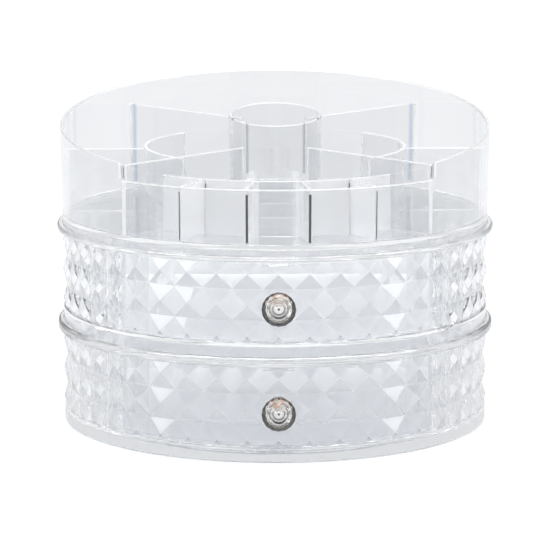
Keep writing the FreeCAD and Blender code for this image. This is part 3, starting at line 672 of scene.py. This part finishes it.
def quarter_round(radius, reach):
    """How far a rounding of this radius falls short of its corner, as radius - sqrt(radius^2 - d^2) with
    d = radius - reach kept between 0 and the radius."""
    d = np.clip(radius - reach, 0, radius)
    return radius - np.sqrt(np.maximum(0, radius ** 2 - d ** 2))


def rim_height(azimuth):
    """Rim height above the seat: RIM_H - r cos(a) tan(tilt), but the low front's height between the two
    front corners, with a rounding at the top and at the foot of each corner."""
    past = np.radians(np.abs((azimuth + 180) % 360 - 180) - FRONT_A) * TRAY_R
    high = RIM_H - RIM_R * np.cos(np.radians(azimuth)) * TILT - quarter_round(CORNER_TOP_R, past)
    return np.where(past > 0.02, high, FRONT_H + quarter_round(CORNER_FOOT_R, -past))


def all_round(count):
    """Azimuths all round in this many even steps, and closer ones at the two front corners."""
    near = np.concatenate([np.linspace(-1.6, 0, 9), np.linspace(0.03, 2.6, 12)])
    near = FRONT_A + np.degrees(near / TRAY_R)
    return np.unique(np.round(np.concatenate([np.linspace(0, 360, count + 1), near, 360 - near]), 6))[:-1]


azimuth = all_round(720)
h = rim_height(azimuth)
inner = TRAY_R - TRAY_WALL
outline = rounded([(0, TRAY_RECESS), (inner + SLOPE * TRAY_RECESS, TRAY_RECESS, 0.8), (inner, SEAT, 0.4),
                   (TRAY_R, SEAT, 0.6), (TRAY_R + SLOPE * h, h, 0.95), (inner + SLOPE * h, h, 0.95),
                   (inner + SLOPE * TRAY_FLOOR, TRAY_FLOOR, 1.0), (0, TRAY_FLOOR)], 5)
tray = swept("tray", around(outline[..., 0], azimuth[:, None], TRAY_Z + outline[..., 1]), closed=True)
finish_piece(tray, "carousel", tray_plastic, "clear_plastic", "tray_shell")

# %% [markdown]
# ## Compartments
# The dividers are thin walls whose tops are worn round in the mould. Straight walls run outwards from the
# brush tube, and curved ones are outlines turned through part of a circle. The walls of one insert are
# joined into a single solid, because clear plastic shows every surface inside it.

# %% Dividers
DIVIDER_T, TUBE_R, ROUND_R, RACK_R, GAP = 2.0, 27.3, 76.0, 92.5, 0.2
REAR_A, REAR_TOP, CORNER_TOP, MIDDLE_TOP, ROUND_TOP = 135.0, 59.1, 46.8, 43.6, 45.6
FOOT = TRAY_FLOOR + SEAT


def section_of_wall(centre, top):
    """The outline of a standing wall: flat foot and a nearly full round along the top."""
    half = DIVIDER_T / 2
    return rounded([(centre - half, FOOT, 0.15), (centre + half, FOOT, 0.15), (centre + half, top, 0.85),
                    (centre - half, top, 0.85)], 5)


def straight_wall(name, start_r, azimuth, top):
    """A wall along one azimuth. Its outer end follows the tray wall: r = inner - gap + slope * z."""
    section = section_of_wall(0, top)
    across, up = section[:, 0], section[:, 1]
    reach = np.linspace(0, 1, 3)[:, None]
    r = start_r + reach * (TRAY_R - TRAY_WALL - GAP + SLOPE * up - start_r)
    turn = math.radians(azimuth)
    x = r * math.sin(turn) + across * math.cos(turn)
    y = -r * math.cos(turn) + across * math.sin(turn)
    return swept(name, np.stack(np.broadcast_arrays(x, y, TRAY_Z + up), -1))


def curved_wall(name, radius, start, end, top):
    """The wall's outline carried along part of a circle: P(a, k) = around(radius + across_k, a, up_k)."""
    outline = lifted(section_of_wall(radius, top), TRAY_Z)
    return turned(name, outline, int(1.5 * (end - start)), start, end)


start_r = TUBE_R + GAP
for side, name in ((-1, "left"), (1, "right")):
    insert = straight_wall(name + "_insert", start_r, side * REAR_A, REAR_TOP)
    combine(insert, straight_wall("corner", start_r, side * FRONT_A, CORNER_TOP), "UNION")
    combine(insert, straight_wall("middle", ROUND_R, side * 90, MIDDLE_TOP), "UNION")
    arc = sorted((side * FRONT_A, side * REAR_A))
    combine(insert, curved_wall("round", ROUND_R, *arc, ROUND_TOP), "UNION")
    finish_piece(insert, "carousel", insert_plastic, "clear_plastic", name + "_divider")

# %% [markdown]
# ## Front rack and brush tube
# The rack is one curved wall with four short walls that reach to the tray's front. The tube is an outline
# turned about the axis like the tray, and its top slopes with the rim, so its outline changes as well.

# %% Rack and tube
TUBE_WALL, TUBE_H = 2.0, 63.8
CELL_WALLS = (-26.3, -8.3, 8.3, 26.3)
end = FRONT_A - math.degrees(math.asin((DIVIDER_T / 2 + GAP) / RACK_R))
rack = curved_wall("rack", RACK_R, -end, end, FRONT_H)
for azimuth in CELL_WALLS:
    combine(rack, straight_wall("cell", RACK_R, azimuth, FRONT_H), "UNION")
finish_piece(rack, "carousel", rack_plastic, "clear_plastic", "front_rack")

azimuth = np.arange(0, 360, 2.0)
h = TUBE_H - TUBE_R * np.cos(np.radians(azimuth)) * TILT
outline = rounded([(TUBE_R - TUBE_WALL, FOOT, 0.2), (TUBE_R, FOOT, 0.2), (TUBE_R, h, 0.9),
                   (TUBE_R - TUBE_WALL, h, 0.9)], 5)
tube = swept("tube", around(outline[..., 0], azimuth[:, None], TRAY_Z + outline[..., 1]), closed=True)
finish_piece(tube, "carousel", tube_plastic, "clear_plastic", "brush_tube")

# %% [markdown]
# ## Knobs: crystal and foil
# Each knob is a cut stone with silvered foil behind its widest ring, so that it sparkles from the front
# and hides its screw. The foil could be a separate sheet, but a second finish on the stone's back facets
# shows the same. Its tone is painted reflection: it changes from the middle outwards, as the facets mirror
# light and dark in turn, and coppery glints are painted above the middle.

# %% Crystal, foil and metal
CRYSTAL = dict(Base_Color=(0.97, 0.98, 0.99, 1), IOR=1.56, Transmission_Weight=1.0)
crystal, shader = new_material("cut_crystal", **CRYSTAL)
tree = crystal.node_tree
tree.links.new(patches(tree, noise(tree, 400, 3.0), 0.0, 0.02), shader.inputs["Roughness"])


def grey(value):
    """A slightly warm grey."""
    return (value, value * 0.98, value * 0.96)


# Painted reflection: the foil's tones stand in for the light and dark that its facets mirror.
FOIL_PAINTED_REFLECTION = [(0.0, grey(0.02)), (0.05, grey(0.03)), (0.08, grey(0.9)), (0.28, grey(0.85)), (0.32, grey(0.3)),
              (0.38, grey(0.4)), (0.42, grey(0.85)), (0.5, grey(0.75)), (0.6, grey(0.22)),
              (0.8, (0.10, 0.085, 0.075)), (1.0, (0.2, 0.18, 0.16))]
# the colour of the painted glints
GLINT_COPPER = (0.75, 0.42, 0.24, 1)
FOIL_EDGE = 0.05 * MM


def foil_backed(name, height, foil_y, radius):
    """Crystal in front of y = foil_y, and foil on the facets behind it. The foil's tone is painted
    reflection: its ramp of tones at r / radius with r = sqrt(x^2 + (z - height)^2), with painted coppery
    glints above the middle."""
    material, shader = new_material(name, Roughness=0.0, **CRYSTAL)
    tree = material.node_tree
    place = node(tree, "ShaderNodeMapping", [(own_place(tree), "Vector")], Location=(0, 0, -height))
    axes = node(tree, "ShaderNodeSeparateXYZ", [(place.outputs["Vector"], 0)])
    flat = node(tree, "ShaderNodeCombineXYZ", [(axes.outputs["X"], "X"), (axes.outputs["Z"], "Z")])
    out = node(tree, "ShaderNodeVectorMath", [(flat.outputs["Vector"], 0)], operation="LENGTH")
    tone = ramp(tree, patches(tree, out.outputs["Value"], 0.0, 1.0, 0.0, radius), FOIL_PAINTED_REFLECTION)
    # Painted glints: coppery spots of light on the foil, only above the middle.
    painted_glints = maths(tree, "MULTIPLY", patches(tree, noise(tree, 1100, 1.0), 0.0, 1.0, 0.5, 0.58),
                   patches(tree, axes.outputs["Z"], 0.0, 1.0, 0.0, radius * 0.5))
    painted_foil_colour = node(tree, "ShaderNodeMix", data_type="RGBA", B=GLINT_COPPER)
    tree.links.new(tone, painted_foil_colour.inputs["A"])
    tree.links.new(painted_glints, painted_foil_colour.inputs["Factor"])
    dull = patches(tree, noise(tree, 900, 2.0), 0.0, 0.05, 0.4, 0.6)
    foil = node(tree, "ShaderNodeBsdfPrincipled", Metallic=1.0,
                links_in=[(painted_foil_colour.outputs["Result"], "Base Color"), (dull, "Roughness")])
    behind = patches(tree, axes.outputs["Y"], 0.0, 1.0, foil_y, foil_y + FOIL_EDGE)
    both = node(tree, "ShaderNodeMixShader", [(behind, 0), (shader.outputs[0], 1), (foil.outputs[0], 2)])
    tree.links.new(both.outputs[0], tree.nodes["Material Output"].inputs["Surface"])
    return material


def worn(name, marks, low, high, **sockets):
    """A plain finish whose roughness runs from low to high with these marks, given as noise takes them."""
    material, shader = new_material(name, **sockets)
    tree = material.node_tree
    tree.links.new(patches(tree, noise(tree, *marks), low, high, 0.3), shader.inputs["Roughness"])
    return material


metal = worn("bright_metal", (500, 3.0, (1, 6, 1)), 0.1, 0.22, Base_Color=(0.80, 0.79, 0.77, 1), Metallic=1.0)
print("foil of %d tones" % len(FOIL_PAINTED_REFLECTION))

# %% [markdown]
# ## Knobs: the cut stones
# A stone is a row of sixteen-pointed rings, some turned by half a step against the next, and flat facets
# join each ring to the next one. Its flat front is the table, and the widest part is the girdle. No
# ready-made shape has such a cut, so the rings are worked out as one array of points.

# %% Stones
STONE_R, STONE_BACK, STONE_FRONT, SIDES = 9.6, -128.6, -140.0, 16
STONE_BORE, GIRDLE = 2.05, 0.47         # radius of the screw's bore, and where along the stone the foil ends
# each ring: how far along the stone, its radius, and its turn in steps
CUT = [(0.0, 4.6, 0), (0.22, 7.2, 0.5), (0.48, STONE_R, 0), (0.6, STONE_R, 0), (0.78, 8.1, 0.5),
       (0.92, 6.2, 0), (1.0, 4.4, 0.5)]


def ringed(name, rings, sides, z):
    """A cut solid along Y. Each ring is (y, radius, turn), and its points are
    (r sin a, y, z + r cos a) with a = (k + turn) * 360 / sides. Rings that are turned against each
    other by half a step are joined by triangles, and the first and last ring are closed flat."""
    y, r, turn = np.array(rings, float).T
    a = (np.arange(sides)[None, :] + turn[:, None]) * 2 * math.pi / sides
    points = np.stack(np.broadcast_arrays(r[:, None] * np.sin(a), y[:, None], z + r[:, None] * np.cos(a)), -1)
    faces = [list(range(sides)), [(len(rings) - 1) * sides + k for k in range(sides)]]
    k = np.arange(sides)
    for i, (now, then) in enumerate(zip(turn, turn[1:])):
        here, there, after = i * sides, (i + 1) * sides, (k + 1) % sides
        if now == then:
            faces += np.stack([here + k, here + after, there + after, there + k], -1).tolist()
        elif now < then:
            faces += np.stack([here + k, here + after, there + k], -1).tolist()
            faces += np.stack([here + after, there + after, there + k], -1).tolist()
        else:
            faces += np.stack([here + k, here + after, there + after], -1).tolist()
            faces += np.stack([here + k, there + after, there + k], -1).tolist()
    return to_object(name, points, faces)


depth = STONE_FRONT - STONE_BACK
rings = [(STONE_BACK - SEAT + along * (depth + SEAT), r, turn) for along, r, turn in CUT]
for tier, z in TIERS.items():
    height = z + KNOB_H
    stone = soften(ringed(tier + "_stone", rings, SIDES, height), 0.12, 8.0)
    combine(stone, bar("bore", STONE_BORE, STONE_BACK + 1, STONE_BACK - 3, height, 32, 0.3), "DIFFERENCE")
    foil_y = (STONE_BACK + GIRDLE * depth) * MM
    stone_finish = foil_backed(tier + "_foil_stone", height * MM, foil_y, STONE_R * MM)
    finish_piece(stone, tier + "_drawer", stone_finish, "crystal", tier + "_knob_crystal")

# %% [markdown]
# ## Turntable
# A flat disc stands on soft pads, and a ring of clear balls in a cage carries the drums. It hardly shows,
# so these parts keep their CAD shape, and each gets its own finish. Only the pads are drawn again, because
# they touch the roofs of their recesses, and a hair of air between the two keeps both clear.

# %% Turntable
nylon = worn("natural_nylon", (300, 3.0), 0.35, 0.5, Base_Color=(0.90, 0.90, 0.86, 1), Subsurface_Weight=0.1)
steel = worn("satin_steel", (600, 4.0, (1, 1, 8)), 0.18, 0.34, Base_Color=(0.62, 0.62, 0.64, 1), Metallic=1.0)
rubber = worn("soft_pad", (500, 3.0), 0.35, 0.5, Base_Color=(0.96, 0.97, 0.98, 1), Transmission_Weight=0.6,
              IOR=1.45)

PAD_H, PAD_EDGE, PAD_R, PAD_RING_R, PAD_COUNT, CENTRE_PAD_R = 1.4, 0.3, 7.0, 86.0, 6, 12.0


def pad(radius, place):
    """A round pad with a worn rim, turned round its own middle and then moved to its place."""
    r = radius - SEAT
    outline = rounded([(0, 0), (r, 0, PAD_EDGE), (r, PAD_H - SEAT, PAD_EDGE), (0, PAD_H - SEAT)])
    made = turned("pads", outline, 96)
    made.data.transform(Matrix.Translation(place * MM))
    return made


pads = pad(CENTRE_PAD_R, np.zeros(3))
for azimuth in np.arange(PAD_COUNT) * 360 / PAD_COUNT:
    combine(pads, pad(PAD_R, around(PAD_RING_R, azimuth, 0.0)), "UNION")
finish_piece(pads, "base", rubber, "pads", "foot_pads")

finishes = {"_ferrule": metal, "_screw": steel, "_washer": nylon, "pivot_bush": nylon,
            "ball_cage": deck_plastic, "base_disc": deck_plastic, "bearing_balls": crystal}
for name, node_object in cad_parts.items():
    for ending, finish in finishes.items():
        if name.endswith(ending):
            node_object.data.materials.clear()
            node_object.data.materials.append(finish)
            print("%-22s %s" % (name, finish.name))

# %% [markdown]
# ## The room that plastic shows
# Clear plastic has hardly any colour of its own: it shows the room, bent. So reflected and bent rays get a
# graded room, with a low sky that is greyer than the high one, and each edge and facet picks up its own
# grey. The camera itself sees plain white, and the world's own light is even.

# %% Sky
HORIZON_GREY, LOW_GREY, MIDDLE_GREY = (0.63, 0.64, 0.66), (0.64, 0.65, 0.67), (0.765, 0.78, 0.795)
SKY = [(0.0, HORIZON_GREY), (0.1, LOW_GREY), (0.17, MIDDLE_GREY), (0.3, (0.92, 0.93, 0.94)),
       (0.45, (1, 1, 1))]
WHITE, WORLD_LIGHT, TOP_LIFT = (1, 1, 1, 1), 0.7, 1.6

world = bpy.data.worlds.new("studio")
bpy.context.scene.world = world
world.use_nodes = True
tree = world.node_tree
tree.nodes.clear()
direction = node(tree, "ShaderNodeTexCoord").outputs["Generated"]
xyz = node(tree, "ShaderNodeSeparateXYZ", [(direction, "Vector")])
sky = ramp(tree, xyz.outputs["Z"], SKY)
lift = node(tree, "ShaderNodeMapRange", [(xyz.outputs["Z"], "Value")], interpolation_type="SMOOTHSTEP",
            From_Min=0.55, From_Max=0.75, To_Min=1.0, To_Max=TOP_LIFT)
rays = node(tree, "ShaderNodeLightPath")
glass_sees = maths(tree, "MAXIMUM", rays.outputs["Is Glossy Ray"], rays.outputs["Is Transmission Ray"])
room = node(tree, "ShaderNodeBackground", [(sky, "Color"), (lift.outputs[0], "Strength")])
plain = node(tree, "ShaderNodeBackground", Color=WHITE, Strength=1.0)
light = node(tree, "ShaderNodeBackground", Color=WHITE, Strength=WORLD_LIGHT)
bent = node(tree, "ShaderNodeMixShader", [(glass_sees, 0), (light.outputs[0], 1), (room.outputs[0], 2)])
seen = node(tree, "ShaderNodeMixShader",
            [(rays.outputs["Is Camera Ray"], 0), (bent.outputs[0], 1), (plain.outputs[0], 2)])
node(tree, "ShaderNodeOutputWorld", [(seen.outputs[0], "Surface")])
print("sky stops at", [stop for stop, _ in SKY])

# %% [markdown]
# ## Table
# The floor does the same. To the camera it is nearly white with a faint shadow, and to bent rays it glows
# with painted light: a painted shadow darkest under the object, pale around it and dim far away. Light that
# falls on it is given back matt.

# %% Table
FLOOR_Z, FLOOR_HALF = -0.0001, 6        # just under the pads, so that the two surfaces don't coincide
FADE_END = 3.0                          # metres from the axis to the end of the ramp
CAMERA_FLOOR = (0.95, 0.95, 0.95, 1)


def cool(value):
    """A slightly cool grey."""
    return (0.987 * value, value, 1.018 * value)


# Painted shadow and glow: what bent rays see of the table, darkest under the object, pale around it and dim
# far away.
FADE = [(0.0, cool(0.66)), (0.05, cool(0.68)), (0.12, cool(0.88)), (0.25, cool(0.91)), (0.40, cool(0.87)),
        (0.57, cool(0.87)), (0.83, cool(0.58))]
floor_mesh = bpy.data.meshes.new("floor")
corners = [(x * FLOOR_HALF, y * FLOOR_HALF, FLOOR_Z) for x, y in ((-1, -1), (1, -1), (1, 1), (-1, 1))]
floor_mesh.from_pydata(corners, [], [(0, 1, 2, 3)])
floor = bpy.data.objects.new("floor", floor_mesh)
bpy.context.scene.collection.objects.link(floor)
floor_paint = bpy.data.materials.new("floor_paint")
floor_paint.use_nodes = True
tree = floor_paint.node_tree
tree.nodes.clear()
rays = node(tree, "ShaderNodeLightPath")
seen_by = maths(tree, "MAXIMUM", rays.outputs["Is Camera Ray"], rays.outputs["Is Glossy Ray"])
seen_by = maths(tree, "MAXIMUM", seen_by, rays.outputs["Is Transmission Ray"])
matt = node(tree, "ShaderNodeBsdfDiffuse", Color=(0.8, 0.8, 0.8, 1))
faint = node(tree, "ShaderNodeBsdfDiffuse", Color=(0.08, 0.08, 0.08, 1))
far = node(tree, "ShaderNodeVectorMath", [(own_place(tree), 0)], operation="LENGTH").outputs["Value"]
fade = ramp(tree, maths(tree, "DIVIDE", far, FADE_END), FADE)
bent = node(tree, "ShaderNodeMixRGB", [(rays.outputs["Is Camera Ray"], 0), (fade, 1)], Color2=CAMERA_FLOOR)
# Painted light: the table glows, with the painted shadow for bent rays and near white for the camera.
glow = node(tree, "ShaderNodeEmission", [(bent.outputs[0], "Color")], Strength=1.0)
white = node(tree, "ShaderNodeAddShader", [(faint.outputs[0], 0), (glow.outputs[0], 1)])
mixed = node(tree, "ShaderNodeMixShader", [(seen_by, 0), (matt.outputs[0], 1), (white.outputs[0], 2)])
node(tree, "ShaderNodeOutputMaterial", [(mixed.outputs[0], "Surface")])
floor_mesh.materials.append(floor_paint)
print("table reaches %.0f m each way" % FLOOR_HALF)

# %% [markdown]
# ## Lamps and light paths
# Three large soft boxes light what isn't clear: the milky edges, the satin boxes and the metal. A ray
# through the whole organizer crosses dozens of surfaces, and where its path ends too early the plastic
# turns black, so the limits on bounces are high.

# %% Lamps and light paths
MIDDLE = Vector((0, 0, 0.1))
SOFT_BOXES = {"top_light": ((0.2, -0.4, 1.6), 0.9, 12), "left_light": ((-1.5, -0.9, 0.7), 0.7, 8),
              "right_light": ((1.5, -0.7, 0.7), 0.7, 8)}
for name, (place, size, power) in SOFT_BOXES.items():
    lamp = bpy.data.lights.new(name, "AREA")
    lamp.shape, lamp.size, lamp.energy = "SQUARE", size, power
    soft_box = bpy.data.objects.new(name, lamp)
    bpy.context.scene.collection.objects.link(soft_box)
    soft_box.location = place
    soft_box.rotation_euler = (MIDDLE - Vector(place)).to_track_quat("-Z", "Y").to_euler()
print("lamps:", list(SOFT_BOXES))

BOUNCES = 96
scene = bpy.context.scene
scene.view_settings.view_transform = "Standard"
scene.cycles.max_bounces = BOUNCES
scene.cycles.transmission_bounces = BOUNCES
scene.cycles.glossy_bounces = BOUNCES
scene.cycles.diffuse_bounces = 6
scene.cycles.blur_glossy = 0.0              # the default blurs the walls behind a satin one, and dims them
# lamps alone are sampled, because the sky and the table look different to each kind of ray
world.cycles.sampling_method = "NONE"
floor_paint.cycles.emission_sampling = "NONE"
scene.cycles.caustics_reflective = True
scene.cycles.caustics_refractive = True
print("up to %d bounces" % BOUNCES)
